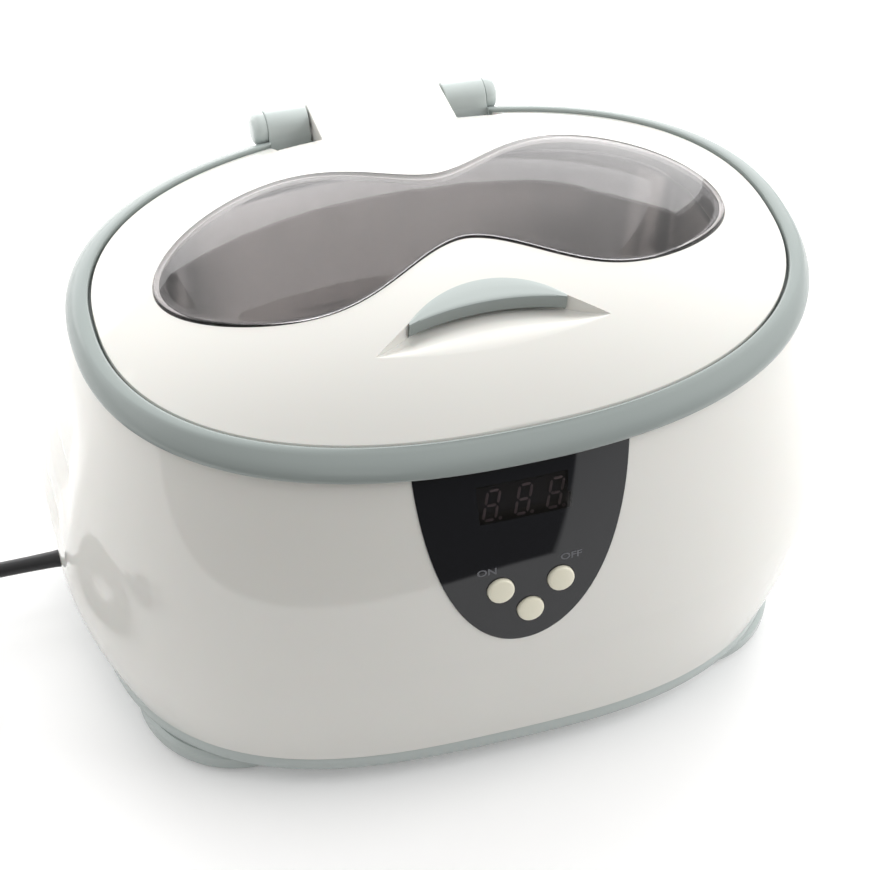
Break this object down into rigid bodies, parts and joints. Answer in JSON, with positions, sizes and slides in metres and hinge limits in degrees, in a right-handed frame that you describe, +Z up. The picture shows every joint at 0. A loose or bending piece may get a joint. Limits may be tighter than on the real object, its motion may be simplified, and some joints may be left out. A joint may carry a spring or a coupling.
{
  "type": "contact lens cleaner device",
  "caption": "Oval bench-top bath cleaner with a hinged lid, butterfly-shaped smoked window, front display panel with push buttons, and a mains lead.",
  "frame": {"origin": "centre of the footprint, at table level", "axes": "+X along the long axis to the right as seen by the person using it, -Y towards that person (the display side), +Z up"},
  "size_m": [0.3126, 0.1716, 0.1313],
  "materials": {
    "white_plastic": "gloss",
    "grey_plastic": "satin",
    "smoked_window": "gloss",
    "smoked_panel": "gloss",
    "button_cream": "satin",
    "figure_bars": "satin",
    "black_plastic": "satin",
    "tank_steel": "brushed",
    "pin_steel": "turned",
    "black_rubber": "matte",
    "aluminium": "turned",
    "ceramic": "matte",
    "copper_tab": "rolled",
    "board_green": "satin",
    "coil_yellow": "satin",
    "capacitor_blue": "gloss",
    "cord_black": "satin"
  },
  "bodies": {
    "cabinet": {"housing": "white_plastic", "trim_ring": "grey_plastic", "tank": "tank_steel", "tank_gasket": "black_rubber", "panel_lens": "smoked_panel", "display_module": "black_plastic", "digit_bars": "figure_bars", "control_board": "board_green", "tact_switches": "black_plastic", "base_tray": "grey_plastic", "foot_pad_front_left": "black_rubber", "foot_pad_front_right": "black_rubber", "foot_pad_rear_left": "black_rubber", "foot_pad_rear_right": "black_rubber", "base_screws": "pin_steel", "transducer_front": "aluminium", "piezo_rings": "ceramic", "contact_tabs": "copper_tab", "transducer_back": "pin_steel", "transducer_bolt": "pin_steel", "power_board": "board_green", "transformer": "coil_yellow", "capacitor": "capacitor_blue", "heat_sink": "aluminium", "hinge_pin": "pin_steel", "hinge_cap_left": "grey_plastic", "hinge_cap_right": "grey_plastic", "strain_relief": "cord_black", "cord_lead": "cord_black", "cord_coil": "cord_black", "coil_tie": "cord_black", "cord_tail": "cord_black", "plug_body": "cord_black", "plug_pins": "pin_steel"},
    "lid": {"lid_shell": "white_plastic", "lid_window": "smoked_window", "lid_handle": "grey_plastic"},
    "on_button": {"button_on": "button_cream"},
    "set_button": {"button_set": "button_cream"},
    "off_button": {"button_off": "button_cream"}
  },
  "joints": [
    {"name": "lid_hinge", "type": "hinge", "parent": "cabinet", "child": "lid", "pos_m": [0, 0.0611, 0.1108], "axis": [-1, 0, 0], "range_deg": [0, 95]},
    {"name": "on_press", "type": "slide", "parent": "cabinet", "child": "on_button", "axis": [0, 0.9659, -0.2588], "range_m": [0, 0.0008], "stiffness_N_per_m": 900, "springref_m": -0.0004},
    {"name": "set_press", "type": "slide", "parent": "cabinet", "child": "set_button", "axis": [0, 0.9659, -0.2588], "range_m": [0, 0.0008], "stiffness_N_per_m": 900, "springref_m": -0.0004},
    {"name": "off_press", "type": "slide", "parent": "cabinet", "child": "off_button", "axis": [0, 0.9659, -0.2588], "range_m": [0, 0.0008], "stiffness_N_per_m": 900, "springref_m": -0.0004}
  ]
}
